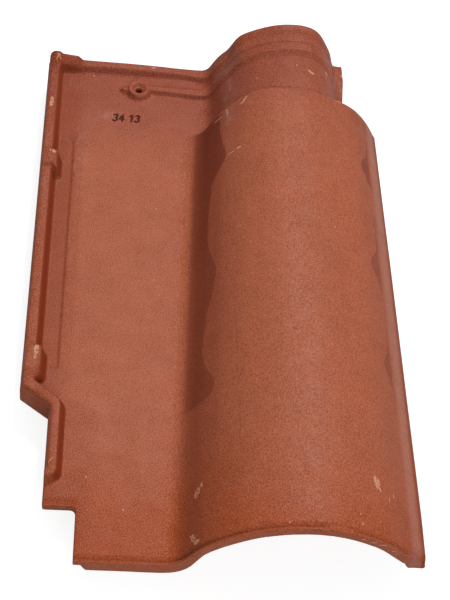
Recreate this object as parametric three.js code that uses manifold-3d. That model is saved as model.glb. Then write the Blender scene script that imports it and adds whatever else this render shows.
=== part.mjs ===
// Interlocking clay roof tile: a flat pan on the left, a half-round cover
// barrel on the right and a narrower stepped neck at the head.
// Millimetres. X runs across the tile, Y from the foot to the head, Z up.
// Z = 0 is the wearing face of the pan.
import * as THREE from 'three';
import { mergeVertices } from 'three/addons/utils/BufferGeometryUtils.js';
import Module from 'manifold-3d';

// ---------------------------------------------------------------- dimensions
const tileLength = 455.5;
const tileWidth = 273.2;
const panThickness = 12;
const barrelThickness = 8.3;
const flankThickness = 6.8;
const flankThinFrom = 0.04;
const flankThinTo = 0.3;
const edgeThickness = 7.6;

// cover barrel
const barrelLength = 387;
const barrelRise = 57.5;
const barrelLeftFoot = 103;
const barrelTaper = 14;
const shoulderFullness = 4;
const crownX = 188;

// free edge of the barrel, which covers the side rib of the next tile
const facetTopX = 262;
const facetTopZ = 17.5;
const facetFootZ = 6.5;
const edgeTaper = 1.3;
const edgeFootDraw = 0.6;
const edgeFootDrawEnd = 45;
const edgeRound = 2;
const edgeLand = 11.6;
const landLean = 0.35;
const edgeBottom = -1;

// foot edge
const footRound = 1.4;
const footRoundRun = 2;
const footUnderRound = 0.5;
const footGroove = 0.8;
const footGrooveAt = 4.4;
const footGrooveHalf = 1.4;
const footSetBack = 4.5;

// neck at the head
const neckLeftX = 127;
const neckRightX = 246.8;
const neckDraw = 5;
const neckDrawStart = 438;
const ledgeTop = 18.2;
const ledgeWidth = 9.5;
const ledgeThickness = 8;
const stepRun = 2;
const innerStepBack = 12;
const stepSkewLeft = 6;
const stepSkewRight = 4;
const headSkew = 4;

// raised rib and rim across the head of the pan
const ribStart = 423.5;
const ribRun = 3;
const ribEnd = 438;
const ribHeight = 3.8;
const ribLeftX = 60;
const ribEndRamp = 6;
const rimStart = 446.2;
const rimHeight = 6.6;
const rimFall = 1.6;
const rimRun = 2.2;
const headRound = 0.9;
const headRoundRun = 1.8;

// rings pressed round the neck: place along the tile and height
const neckRings = [
  [424.5, 0],
  [429, 3.5],
  [436.9, 3.5],
  [437.5, 2.5],
  [438.2, 3.2],
  [445, 3],
  [448.4, 5.8],
  [450.5, 6.5],
  [tileLength, 6.6],
];

// side channel and rib along the left edge
const sideRibWidth = 12;
const sideRibTop = 9;
const sideRibCrestLeft = 2.6;
const sideRibCrestRight = 8.6;
const channelEnd = 24.5;
const channelDepth = 1.0;

// stepped foot corner at the left
const notchX1 = 20.7;
const notchY1 = 111.5;
const notchTopY = 126.8;
const notchX2 = 42.7;
const notchY2 = 42;
const notchFillet = 3;
const footCornerCut = 8.3;
const footCornerTop = -5;
const footCornerRound = 0.8;
const innerRibGap = 13;
const innerRibRamp = 7;
const bendRun = 9;

// lugs on the side rib
const lugHeight = 12.5;
const lugLength = 21;
const lugRamp = 4;
const lugFeet = [138.8, 333];
const lugLeft = 1.2;
const lugRight = 16.2;
const lugTopRight = 11.6;
const lugArris = 1.4;
const lugArrisDrop = 3;
const lugRoot = 2;

// head end of a lug, round in plan: distance from the end, how much the right
// side is drawn in and how much the top falls
const lugHeadRounding = [
  [6, 0, 0],
  [3, 1.2, 0],
  [1.2, 3.2, 0.4],
  [0, 6.5, 2.4],
];

// raised corner block and post where the side rib meets the head rim
const blockLength = 8.5;
const blockWidth = 29;
const blockTop = 12.2;
const blockFall = 1.6;
const blockRamp = 4.5;
const blockRound = 1.6;
const postLength = 12;
const postTop = 14.6;

// nail hole and boss
const nailX = 75.7;
const nailY = 427.5;
const nailHoleRadius = 2.75;
const bossRadius = 9;
const bossTopRadius = 7.4;
const bossHeight = 5.6;
const bossDish = 3.4;
const bossLip = 1.2;

// hanging nibs under the head
const nibWidth = 30;
const nibDepth = 14;
const nibRun = 15;
const nibY = 425;
const nibXs = [38, 96];

// ------------------------------------------------------------------ sections
// One upper outline is a fixed number of samples, so that every station lofts
// onto the next one point for point.
const flatSamples = 9;
const archSamples = 34;

// Free edge of the barrel, drawn in slightly towards the head and at the foot.
function edgeX(y) {
  const atFoot = edgeFootDraw * (1 - smooth(0, edgeFootDrawEnd, y));
  return tileWidth - edgeTaper * Math.min(1, y / barrelLength) - atFoot;
}

// Left flank of the barrel: distance from its foot line, and the share of the
// rise reached there at the tile's foot and at the step.
const leftFlank = [
  [-5, 0, 0],
  [0, 0.008, 0.01],
  [4, 0.032, 0.03],
  [8, 0.095, 0.065],
  [12, 0.2, 0.12],
  [16, 0.33, 0.21],
  [21, 0.455, 0.36],
  [30, 0.615, 0.595],
  [44, 0.797, 0.797],
  [57, 0.91, 0.91],
  [71, 0.98, 0.98],
  [crownX - barrelLeftFoot, 1, 1],
];

// Control points of the barrel, from the pan, over the crown, to the side lip.
function barrelPoints(y) {
  const along = Math.min(1, y / barrelLength);
  const shift = barrelTaper * along;
  const span = crownX - barrelLeftFoot;
  const left = leftFlank.map(([dx, atFoot, atStep]) => [
    barrelLeftFoot + dx + shift * (1 - dx / span),
    barrelRise * (atFoot + (atStep - atFoot) * along),
  ]);
  const full = shoulderFullness * along;
  const right = [
    [202, 56.4 + 0.2 * full],
    [216, 52.4 + 0.2 * full],
    [229, 46.2 + 0.2 * full],
    [241, 38.2 + 0.7 * full],
    [251, 28.6 + 1.2 * full],
    [facetTopX, facetTopZ + 0.8 * full],
    [edgeX(y) - edgeRound / 2, facetFootZ],
  ];
  return left.concat(right);
}

// Control points of the neck: a smooth flank at the step, a waisted one at the
// head. The last point is where the flank meets the ledge on its right.
const neckAtStep = [
  [124, 0],
  [131, 0.8],
  [135.5, 4.6],
  [139.5, 12.2],
  [143.5, 20.8],
  [148.5, 29],
  [154.5, 36.4],
  [161.5, 43.4],
  [171, 49.8],
  [184, 54.2],
  [197, 55.4],
  [207.5, 54.3],
  [216, 50.8],
  [224, 44],
  [231, 34.5],
  [236.8, 24.6],
  [240.3, ledgeTop + 1.2],
];
const neckAtHead = [
  [124, 0],
  [130, 0.6],
  [134, 4],
  [137.5, 11.4],
  [141.6, 18],
  [147.4, 25.1],
  [152.6, 36],
  [158.5, 42.2],
  [171, 48.8],
  [184, 53.2],
  [197, 54.6],
  [208, 53.6],
  [217, 49.8],
  [223.5, 43.2],
  [229.5, 33.5],
  [234.7, 24.6],
  [238.6, ledgeTop + 0.9],
];

function neckPoints(y) {
  const along = smooth(barrelLength + 30, rimStart, y);
  return neckAtStep.map(([x, z], i) => [
    x + (neckAtHead[i][0] - x) * along,
    z + (neckAtHead[i][1] - z) * along,
  ]);
}

// Right-hand edge of the ledge, drawn in towards the step.
function neckEdgeX(y) {
  const along = (neckDrawStart - y) / (neckDrawStart - barrelLength);
  return neckRightX - neckDraw * Math.min(1, Math.max(0, along));
}

function splineSamples(points, count) {
  const curve = new THREE.SplineCurve(points.map(([x, z]) => new THREE.Vector2(x, z)));
  return curve.getSpacedPoints(count).map((p) => [p.x, p.y]);
}

// Pan samples from the left edge to the start of the arch, with the shallow
// water channel beside the side rib.
function panSamples(endX) {
  const out = [
    [0, 0],
    [sideRibWidth - 1, 0],
    [sideRibWidth + 1, -channelDepth],
    [channelEnd - 1, -channelDepth],
    [channelEnd + 1, 0],
  ];
  out.push([ribLeftX - ribEndRamp / 2, 0]);
  const start = ribLeftX + ribEndRamp / 2;
  const rest = flatSamples - out.length;
  for (let i = 0; i < rest; i += 1) {
    out.push([start + ((endX - start) * i) / rest, 0]);
  }
  return out;
}

function upperOutline(y) {
  const onNeck = y > barrelLength;
  const arch = splineSamples(onNeck ? neckPoints(y) : barrelPoints(y), archSamples);
  const barrelEdge = [
    [edgeX(y) - 0.15 * edgeRound, facetFootZ - 0.5 * edgeRound],
    [edgeX(y), facetFootZ - 1.4 * edgeRound],
  ];
  const ledge = [
    [(arch[archSamples][0] + neckEdgeX(y)) / 2, ledgeTop],
    [neckEdgeX(y), ledgeTop],
  ];
  return [...panSamples(arch[0][0]), ...arch, ...(onNeck ? ledge : barrelEdge)];
}

// Outline moved along its own normals, outwards for a positive distance.
function offsetOutline(outline, distances) {
  return outline.map(([x, z], i) => {
    const a = outline[Math.max(0, i - 1)];
    const b = outline[Math.min(outline.length - 1, i + 1)];
    const dx = b[0] - a[0];
    const dz = b[1] - a[1];
    const len = Math.hypot(dx, dz);
    return [x - (dz / len) * distances[i], z + (dx / len) * distances[i]];
  });
}

function smooth(from, to, value) {
  const t = Math.min(1, Math.max(0, (value - from) / (to - from)));
  return t * t * (3 - 2 * t);
}

function groove(at, depth, halfWidth, y) {
  return depth * Math.max(0, 1 - Math.abs(y - at) / halfWidth);
}

// Height on a polyline of [place, height] pairs.
function heightOn(profile, at) {
  const next = profile.findIndex(([place]) => place >= at);
  if (next <= 0) {
    return profile[next === 0 ? 0 : profile.length - 1][1];
  }
  const [a, za] = profile[next - 1];
  const [b, zb] = profile[next];
  return za + ((zb - za) * (at - a)) / (b - a);
}

// Height of the rib, the rim and the neck's rings above the plain outline.
// The rib runs only from the nail boss to the neck; the rim runs right across.
function relief(x, y) {
  const overRib = smooth(ribLeftX - ribEndRamp / 2, ribLeftX + ribEndRamp / 2, x);
  const alongRib = smooth(ribStart, ribStart + ribRun, y) * (1 - smooth((ribStart + ribEnd) / 2, ribEnd, y));
  const rimTop = rimHeight - rimFall * smooth(ribLeftX, neckLeftX, x);
  const rim = rimTop * smooth(rimStart, rimStart + rimRun, y);
  const onPan = Math.max(ribHeight * overRib * alongRib, rim);
  const onNeck = heightOn(neckRings, y) * (1 - smooth(neckRightX - 14, neckRightX - 8, x));
  const neckShare = smooth(neckLeftX - 2, neckLeftX + 28, x);
  return onPan + (onNeck - onPan) * neckShare;
}

// Depth, square to the surface, of the rounded ends and of the foot groove.
function endRounding(y) {
  const foot = footRound * (1 - smooth(0, footRoundRun, y));
  const head = headRound * smooth(tileLength - headRoundRun, tileLength, y);
  return foot + head + groove(footGrooveAt, footGroove, footGrooveHalf, y);
}

// The barrel is pressed a little askew: on the side of its lip its ends lie
// nearer to the head, and at the pan the step lies nearer to the foot.
function skewedY(x, y) {
  const step = stepSkewRight * smooth(crownX, facetTopX, x) - stepSkewLeft * (1 - smooth(142, 172, x));
  const head = headSkew * smooth(neckLeftX - 3, neckRightX, x);
  const foot = footSetBack * smooth(tileWidth - 1.7 * edgeLand, tileWidth - 0.7 * edgeLand, x);
  const pastStep = smooth(barrelLength + 6, ribStart, y);
  const nearStep = smooth(barrelLength - 90, barrelLength - 20, y) * (1 - pastStep);
  return y + step * nearStep + head * pastStep + foot * (1 - smooth(0, 40, y));
}

// Underside outline: the pan's flat back, the inside of the arch and the land
// under the free edge.
function lowerOutline(y) {
  const inNeck = y > barrelLength - innerStepBack;
  const upper = upperOutline(inNeck ? Math.max(y, barrelLength + 1) : y);
  const n = upper.length;
  const bottom = inNeck ? ledgeTop - ledgeThickness : edgeBottom;
  const edge = upper[n - 1][0];
  const landStart = edge - (inNeck ? ledgeWidth + 3 : edgeLand);
  const thickness = upper.map((_, i) => {
    const along = (i - flatSamples) / archSamples;
    const flank = panThickness + (flankThickness - panThickness) * smooth(flankThinFrom, flankThinTo, along);
    const crown = (barrelThickness - flankThickness) * smooth(0.2, 0.45, along);
    return flank + crown + (edgeThickness - barrelThickness) * smooth(0.5, 0.75, along);
  });
  const lower = offsetOutline(upper, thickness.map((t) => -t));
  for (let i = 0; i < flatSamples; i += 1) {
    lower[i] = [upper[i][0], -panThickness];
  }
  lower[n - 1] = [edge, bottom];
  lower[n - 2] = [edge - 1, bottom];
  lower[n - 3] = [landStart, bottom];
  for (let i = flatSamples; i < n / 2; i += 1) {
    lower[i][1] = Math.max(lower[i][1], -panThickness);
  }
  for (let i = Math.ceil(n / 2); i < n - 3; i += 1) {
    lower[i][1] = Math.max(lower[i][1], bottom + 0.3 * (n - 3 - i));
    lower[i][0] = Math.min(lower[i][0], landStart - landLean * (lower[i][1] - bottom));
  }
  const underRound = footUnderRound * (1 - smooth(0, footRoundRun, y));
  for (const point of lower) {
    point[1] += underRound;
  }
  return lower;
}

// -------------------------------------------------------------------- solids
const wasm = await Module();
wasm.setup();

function toSolid(geometry) {
  const plain = geometry.index ? geometry.toNonIndexed() : geometry.clone();
  plain.deleteAttribute('normal');
  plain.deleteAttribute('uv');
  const merged = mergeVertices(plain, 1e-4);
  return new wasm.Manifold(
    new wasm.Mesh({
      numProp: 3,
      vertProperties: new Float32Array(merged.attributes.position.array),
      triVerts: new Uint32Array(merged.index.array),
    }),
  );
}

// Six times the volume that the triangles enclose, negative if they face in.
function signedVolume(positions, index) {
  const corners = [new THREE.Vector3(), new THREE.Vector3(), new THREE.Vector3()];
  let sum = 0;
  for (let i = 0; i < index.length; i += 3) {
    corners.forEach((c, k) => c.fromArray(positions, 3 * index[i + k]));
    sum += corners[0].dot(corners[1].clone().cross(corners[2]));
  }
  return sum;
}

// Closed shell through a list of closed rings with equal point counts.
function loftRings(rings) {
  const count = rings[0].length;
  const positions = rings.flat(2);
  const index = [];
  for (let j = 0; j < rings.length - 1; j += 1) {
    for (let i = 0; i < count; i += 1) {
      const a = j * count + i;
      const b = j * count + ((i + 1) % count);
      index.push(a, a + count, b, b, a + count, b + count);
    }
  }
  const half = count / 2;
  const last = (rings.length - 1) * count;
  for (let i = 0; i < half - 1; i += 1) {
    const p = i;
    const q = i + 1;
    const r = count - 1 - i;
    const s = count - 2 - i;
    index.push(p, q, r, q, s, r);
    index.push(last + p, last + r, last + q, last + q, last + r, last + s);
  }
  const geometry = new THREE.BufferGeometry();
  geometry.setAttribute('position', new THREE.Float32BufferAttribute(positions, 3));
  geometry.setIndex(signedVolume(positions, index) < 0 ? index.reverse() : index);
  return geometry;
}

function ringAt(y) {
  const upper = upperOutline(y);
  const rounded = offsetOutline(upper, upper.map(() => -endRounding(y)));
  const raised = rounded.map(([x, z], i) => [x, z + relief(upper[i][0], y)]);
  const lower = lowerOutline(y);
  const last = raised.length - 1;
  raised[0][0] = 0;
  raised[last][0] = upper[last][0];
  const top = raised.map(([x, z]) => [x, skewedY(x, y), z]);
  const bottom = lower.map(([x, z]) => [x, skewedY(x, y), z]).reverse();
  return [...top, ...bottom];
}

function spread(from, to, count) {
  return Array.from({ length: count }, (_, i) => from + ((to - from) * i) / (count - 1));
}

const innerStep = barrelLength - innerStepBack;
const stations = [
  ...spread(0, footRoundRun, 5),
  ...spread(footGrooveAt - footGrooveHalf, footGrooveAt + footGrooveHalf, 5),
  ...spread(45, innerStep - 18, 7),
  innerStep - 6,
  innerStep - 0.1,
  innerStep + 0.1,
  innerStep + 6,
  barrelLength,
];
const headStations = [
  ...spread(barrelLength + stepRun, ribStart - 7, 4),
  ...spread(ribStart, ribStart + ribRun, 4),
  ...spread((ribStart + ribEnd) / 2, ribEnd - 2, 3),
  ...neckRings.slice(1, -1).map(([y]) => y),
  ...spread(rimStart, rimStart + rimRun - 0.4, 3),
  ...spread(tileLength - headRoundRun, tileLength, 3),
];
const rings = [...stations, ...headStations.sort((a, b) => a - b)].map((y) => ringAt(y));
let tile = toSolid(loftRings(rings));

// Straight prism from an outline in plan, between two heights.
function prism(outline, bottom, top) {
  const shape = new THREE.Shape(outline.map(([x, y]) => new THREE.Vector2(x, y)));
  const geometry = new THREE.ExtrudeGeometry(shape, {
    depth: top - bottom,
    bevelEnabled: false,
    curveSegments: 10,
  });
  geometry.translate(0, 0, bottom);
  return toSolid(geometry);
}

// Bar lofted through upright sections. Each section is shifted to x and y, and
// its part above the pan is raised or lowered to the height given.
function bar(section, path) {
  const top = Math.max(...section.map(([, z]) => z));
  const sections = path.map(([px, py, height]) =>
    section.map(([x, z]) => [px + x, py, z > 0 ? (z * height) / top : z]),
  );
  return toSolid(loftRings(sections));
}

// Left-hand side rib, from the stepped corner up to the head, where it rises
// into a low post.
const ribSection = [
  [0, -4],
  [0, 4.5],
  [1, 7.4],
  [sideRibCrestLeft, sideRibTop],
  [sideRibCrestRight, sideRibTop],
  [10, 7.6],
  [sideRibWidth, 0],
  [sideRibWidth, -4],
].reverse();
const sideRib = [
  [0, notchTopY + 4, sideRibTop],
  [0, tileLength - postLength, sideRibTop],
  [0, tileLength - headRoundRun, postTop],
  [0, tileLength, postTop - headRound],
];
tile = tile.add(bar(ribSection, sideRib));

// The rib bends across the corner and runs on down the inset edge.
const innerRibFoot = notchY2 + innerRibGap;
const bend = [
  [notchX1 + 0.5, innerRibFoot, sideRibTop / 3],
  [notchX1, innerRibFoot + innerRibRamp, sideRibTop],
  [notchX1, notchY1 - bendRun, sideRibTop],
  [notchX1 - 1, notchY1 - 2, sideRibTop],
  [1, notchTopY - 1, sideRibTop],
  [0, notchTopY + innerRibRamp, sideRibTop],
];
const narrow = ribSection.map(([x, z]) => [x * 0.88, z]);
tile = tile.add(bar(narrow, bend));

// Lugs that stand on the rib, each with a steep end towards the foot.
const lugSection = [
  [lugLeft, -lugRoot],
  [lugLeft, lugHeight - lugArris],
  [lugLeft + lugArris, lugHeight],
  [lugTopRight, lugHeight],
  [lugTopRight + lugArris, lugHeight - lugArrisDrop],
  [lugRight, -lugRoot],
].reverse();

function lugStation(y, top, drawnIn) {
  const narrow = 1 - drawnIn / (lugRight - lugLeft);
  return lugSection.map(([x, z]) => [
    lugLeft + (x - lugLeft) * narrow,
    y,
    z > 0 ? (z * top) / lugHeight : z,
  ]);
}

for (const foot of lugFeet) {
  const head = foot + lugLength;
  const sections = [
    lugStation(foot - lugRamp, 1, lugArris),
    lugStation(foot, lugHeight, 0),
    ...lugHeadRounding.map(([back, drawnIn, drop]) =>
      lugStation(head - back, lugHeight - drop, drawnIn),
    ),
  ];
  tile = tile.add(toSolid(loftRings(sections)));
}

// Raised block beside the post, falling to the rim at its right-hand end.
const blockSection = [
  [0, -panThickness / 2],
  [0, blockTop],
  [sideRibWidth + 1, blockTop],
  [blockWidth - blockRamp, blockTop - blockFall],
  [blockWidth, rimHeight - 1],
  [blockWidth, -panThickness / 2],
].reverse();
const block = [
  [0, tileLength - blockLength, blockTop - blockRound],
  [0, tileLength - blockLength + blockRound, blockTop],
  [0, tileLength - headRoundRun, blockTop],
  [0, tileLength, blockTop - headRound],
];
tile = tile.add(bar(blockSection, block));

// Hanging nibs on the back of the pan.
for (const x of nibXs) {
  const half = nibWidth / 2;
  const nib = [
    [x - half, nibY - nibRun / 2],
    [x + half, nibY - nibRun / 2],
    [x + half - 2, nibY + nibRun / 2],
    [x - half + 2, nibY + nibRun / 2],
  ];
  tile = tile.add(prism(nib, -panThickness - nibDepth, -panThickness + 3));
}

// Boss and nail hole.
const boss = new THREE.CylinderGeometry(bossTopRadius, bossRadius, bossHeight + 2, 32);
boss.rotateX(Math.PI / 2);
boss.translate(nailX, nailY, bossHeight / 2 - 1);
tile = tile.add(toSolid(boss));
const dishTop = bossTopRadius - bossLip;
const dish = new THREE.CylinderGeometry(dishTop, nailHoleRadius + bossLip / 2, bossDish, 28);
dish.rotateX(Math.PI / 2);
dish.translate(nailX, nailY, bossHeight - bossDish / 2 + 0.01);
tile = tile.subtract(toSolid(dish));
const hole = new THREE.CylinderGeometry(nailHoleRadius, nailHoleRadius, 4 * panThickness, 28);
hole.rotateX(Math.PI / 2);
hole.translate(nailX, nailY, 0);
tile = tile.subtract(toSolid(hole));

// Stepped corner at the lower left, with the foot's own corner cut from below.
tile = tile.subtract(
  prism(
    [
      [notchX2 - 1, -1],
      [notchX2 + footCornerCut + 1, -1],
      [notchX2 - 1, footCornerCut + 1],
    ],
    -2 * (panThickness + nibDepth),
    footCornerTop,
  ),
);
tile = tile.subtract(
  prism(
    [
      [-5, -5],
      [notchX2 + footCornerRound, -5],
      [notchX2 + footCornerRound, 0],
      [notchX2, footCornerRound],
      [notchX2, notchY2 - notchFillet],
      [notchX2 - 0.3 * notchFillet, notchY2 - 0.3 * notchFillet],
      [notchX2 - notchFillet, notchY2],
      [notchX1 + 1, notchY2],
      [notchX1, notchY2 + 1],
      [notchX1, notchY1],
      [0, notchTopY],
      [-5, notchTopY + 3],
    ],
    -2 * (panThickness + nibDepth),
    barrelRise,
  ),
);

// -------------------------------------------------------------------- output
// The origin is put under the middle of the tile, level with the nibs' tips.
function fromSolid(solid) {
  const mesh = solid.getMesh();
  const geometry = new THREE.BufferGeometry();
  const positions = new Float32Array((mesh.vertProperties.length / mesh.numProp) * 3);
  for (let i = 0; i < positions.length / 3; i += 1) {
    positions[3 * i] = mesh.vertProperties[i * mesh.numProp];
    positions[3 * i + 1] = mesh.vertProperties[i * mesh.numProp + 1];
    positions[3 * i + 2] = mesh.vertProperties[i * mesh.numProp + 2];
  }
  geometry.setAttribute('position', new THREE.BufferAttribute(positions, 3));
  geometry.setIndex(new THREE.BufferAttribute(new Uint32Array(mesh.triVerts), 1));
  geometry.computeBoundingBox();
  const middle = geometry.boundingBox.getCenter(new THREE.Vector3());
  geometry.translate(-middle.x, -middle.y, -geometry.boundingBox.min.z);
  geometry.computeVertexNormals();
  return geometry;
}

const clay = new THREE.MeshStandardMaterial({ color: 0xa2573f, roughness: 0.85 });
const tileMesh = new THREE.Mesh(fromSolid(tile), clay);
tileMesh.name = 'tile';

const group = new THREE.Group();
group.name = 'clay_roof_tile';
group.add(tileMesh);

export default group;
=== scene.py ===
"""Looks of the clay roof tile: a finely rounded clay body, its pressed marks, wear and stains, with
some shade, sheen and highlights painted into its colour.

Shapes are worked out in millimetres in the tile's own plan: x from the left edge, y from the
foot, z up from the wearing face of the pan. The body is a signed field over a box of grid
points, negative in the clay. Its zero level becomes the mesh, moved into the CAD frame.
"""

import math

import bpy
import numpy as np
from mathutils import Matrix, Vector


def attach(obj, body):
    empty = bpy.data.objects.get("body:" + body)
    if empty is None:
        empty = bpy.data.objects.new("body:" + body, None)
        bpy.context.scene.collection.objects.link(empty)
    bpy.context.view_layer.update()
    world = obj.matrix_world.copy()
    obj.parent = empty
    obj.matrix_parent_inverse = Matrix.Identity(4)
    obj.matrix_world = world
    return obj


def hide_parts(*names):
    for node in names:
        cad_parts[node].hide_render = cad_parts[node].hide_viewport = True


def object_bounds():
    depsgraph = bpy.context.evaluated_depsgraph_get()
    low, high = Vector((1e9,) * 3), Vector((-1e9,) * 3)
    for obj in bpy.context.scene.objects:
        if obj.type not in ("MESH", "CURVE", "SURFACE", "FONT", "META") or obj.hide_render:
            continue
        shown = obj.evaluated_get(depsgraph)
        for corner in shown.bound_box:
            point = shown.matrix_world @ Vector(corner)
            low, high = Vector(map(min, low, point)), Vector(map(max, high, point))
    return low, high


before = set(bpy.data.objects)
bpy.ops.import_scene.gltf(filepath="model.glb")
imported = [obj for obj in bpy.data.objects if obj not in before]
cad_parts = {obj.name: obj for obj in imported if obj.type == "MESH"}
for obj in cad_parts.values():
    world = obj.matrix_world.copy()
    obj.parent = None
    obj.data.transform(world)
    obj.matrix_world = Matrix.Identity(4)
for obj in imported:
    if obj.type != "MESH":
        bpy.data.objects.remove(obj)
cad_low, cad_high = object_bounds()

# ---- dimensions (mm)
MM = 0.001
CAD_LOW = np.array(cad_low) / MM
CAD_HIGH = np.array(cad_high) / MM

TILE_LENGTH = 455.5
TILE_WIDTH = 273.2
PAN_THICKNESS = 12
PAN_REACH = 118

BARREL_LENGTH = 387
BARREL_RISE = 57.5
BARREL_LEFT_FOOT = 103
BARREL_TAPER = 14
CROWN_X = 188
SHOULDER_FULLNESS = 4
INNER_STEP_BACK = 12

# Wall of the barrel and the neck, and the shares of a section over which it changes.
BARREL_THICKNESS = 8.3
FLANK_THICKNESS = 6.8
EDGE_THICKNESS = 7.6
FLANK_THIN = (0.04, 0.3)
CROWN_THICKEN = (0.2, 0.45)
EDGE_THIN = (0.5, 0.75)

FACET_TOP = (262, 17.5)
FACET_FOOT_Z = 6.5
EDGE_TAPER = 1.3
EDGE_FOOT_DRAW = 0.6
EDGE_FOOT_DRAW_END = 45
EDGE_ROUND = 2
EDGE_BOTTOM = -1
EDGE_LAND = 11.6
LAND_LEAN = 0.4
LAND_ROUND = 5

NECK_LEFT = 127
NECK_RIGHT = 246.8
NECK_DRAW = 5
NECK_DRAW_START = 438
NECK_BLEND_START = BARREL_LENGTH + 30
NECK_HOLLOW_START = 370
LEDGE_TOP = 18.2
LEDGE_WIDTH = 9.5
LEDGE_THICKNESS = 8
LEDGE_UNDERSIDE_FALL = 0.09
LEDGE_UNDERSIDE_Z = 6

# The pressing is a little askew: how much nearer to the head these places lie.
FOOT_SET_BACK = 4.5
FOOT_SET_BACK_END = 40
STEP_SKEW_LEFT = 6
STEP_SKEW_LEFT_SPAN = (142, 172)
STEP_SKEW_RIGHT = 4
STEP_SKEW_RISE = (BARREL_LENGTH - 90, BARREL_LENGTH - 20)
HEAD_SKEW = 4

RIB_START = 423.5
RIB_END = 438
RIB_FALL = 6.5
RIB_HEIGHT = 3.8
RIB_TAIL = (64.6, 428.6)
RIB_TAIL_RADIUS = 5.3
RIB_TAIL_WIDENING = 0.27
RIB_TAIL_SLOPE = 0.6
RIB_TAIL_SPAN = (66, 82)
RIM_START = 446.2
RIM_HEIGHT = 6.6
RIM_FALL = 1.6
RIM_BEND = 3
RIM_BEND_SPAN = (112, 131)

SIDE_RIB_WIDTH = 12
SIDE_RIB_TOP = 9
SIDE_RIB_NARROW = 0.9
SIDE_RIB_MIDDLE = 4
CHANNEL_STEP = (24.9, 25.4)
CHANNEL_SPAN = (146, 377)
CHANNEL_DEPTH = 0.7
INNER_STEP_X = 32.4
INNER_STEP_DEPTH = 0.2

NOTCH_X1 = 20.7
NOTCH_Y1 = 111.5
NOTCH_TOP = 126.8
NOTCH_X2 = 42.7
NOTCH_Y2 = 39.7
NOTCH_UNDERCUT_Z = -6.6
FOOT_CUT = 8.3
FOOT_CUT_TOP = -5
INNER_RIB_END = 62.5
WALL_LEDGE = 0.7
WALL_LEDGE_Z = 1

LUG_HEIGHT = 12.5
LUG_RIGHT = 16.2
LUG_CORNER = 6.5
LUG_LEAN_START = 9
# Of each lug: its start and end along the tile, the run of its foot face, and that face's lean.
LUGS = ((133, 162, 6.5, -0.5), (332.6, 354.6, 1.5, 0.5))

BLOCK_LENGTH = 9.6
BLOCK_WIDTH = 29
BLOCK_TOP = 12.2
BLOCK_FALL = 1.6
BLOCK_RAMP = 4.5
POST_LENGTH = 12
POST_RUN = POST_LENGTH - 2
POST_TOP = 14.6

NAIL = (75.7, 427.5)
NAIL_RADIUS = 2.75
BOSS_RADIUS = 9.8
BOSS_TOP_RADIUS = 8.6
BOSS_HEIGHT = 5.6
BOSS_DISH = 2.6
BOSS_RIM = 1.9
BOSS_FILLET = 1.6

NIB_XS = (38, 96)
NIB_Y = 425
NIB_WIDTH = 30
NIB_RUN = 15
NIB_DEPTH = 14
NIB_DRAFT = 0.12
NIB_ROOT_Z = 2

# Radii of rounded edges and of filled corners.
SHARP = 1e-3
LIP_END_ROUND = 5
LIP_END_SPAN = (250, 264)
RIGHT_EDGE_ROUND = 1.6
STEP_ROUND = 1.3
NECK_EDGE_ROUND = 1.2
HOLLOW_ROUND = 0.9
HEAD_ROUND = 1.2
SIDE_ROUND = 1.1
FOOT_ROUND = 0.9
NIB_CORNER_ROUND = 2
NIB_TIP_ROUND = 1.2
NIB_FILLET = 2
NAIL_HOLE_ROUND = 0.6
STEP_FILLET = 1.5

NUMBERS = "34 13"
NUMBER_PLACE = (54.8, 393.4)
NUMBER_HEIGHT = 7.8
NUMBER_WIDTH = 4
NUMBER_GAP = 1
NUMBER_SPACE = 0.45
NUMBER_LEAN = 0.16
NUMBER_DEPTH = 1.3
NUMBER_STROKE = 0.8
NUMBER_SPAN_X = (53, 77)
NUMBER_SPAN_Y = (391.5, 403)

MOST_TRIANGLES = 190000
SHIFT = CAD_LOW + np.array([0, 0, PAN_THICKNESS + NIB_DEPTH])

# ---- profiles (mm)
# Left flank of the barrel: distance from its foot line, and the share of the rise reached
# there at the tile's foot and at the step.
LEFT_FLANK = (
    (-5, 0, 0), (0, 0.008, 0.01), (4, 0.032, 0.03), (8, 0.095, 0.065), (12, 0.2, 0.12),
    (16, 0.33, 0.21), (21, 0.455, 0.36), (30, 0.615, 0.595), (44, 0.797, 0.797),
    (57, 0.91, 0.91), (71, 0.98, 0.98), (85, 1, 1),
)
# Right flank of the barrel: place across, height, and share of the shoulder's fullness added.
RIGHT_FLANK = (
    (202, 56.4, 0.2), (216, 52.4, 0.2), (229, 46.2, 0.2), (241, 38.2, 0.7), (251, 28.6, 1.2),
    (*FACET_TOP, 0.8),
)
# The neck: a smooth flank at the step, a waisted one at the head.
NECK_AT_STEP = (
    (124, 0), (131, 0.8), (135.5, 4.6), (139.5, 12.2), (143.5, 20.8), (148.5, 29), (154.5, 36.4),
    (161.5, 43.4), (171, 49.8), (184, 54.2), (197, 55.4), (207.5, 54.3), (216, 50.8), (224, 44),
    (231, 34.5), (236.8, 24.6), (240.3, LEDGE_TOP + 1.2), (243.5, LEDGE_TOP),
)
NECK_AT_HEAD = (
    (124, 0), (130, 0.6), (134, 4), (137.5, 11.4), (141.6, 18), (147.4, 25.1), (152.6, 36),
    (158.5, 42.2), (171, 48.8), (184, 53.2), (197, 54.6), (208, 53.6), (217, 49.8), (223.5, 43.2),
    (229.5, 33.5), (234.7, 24.6), (238.6, LEDGE_TOP + 0.9), (242, LEDGE_TOP),
)
NECK_END = (NECK_RIGHT + 4, LEDGE_TOP - 0.4)
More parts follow.
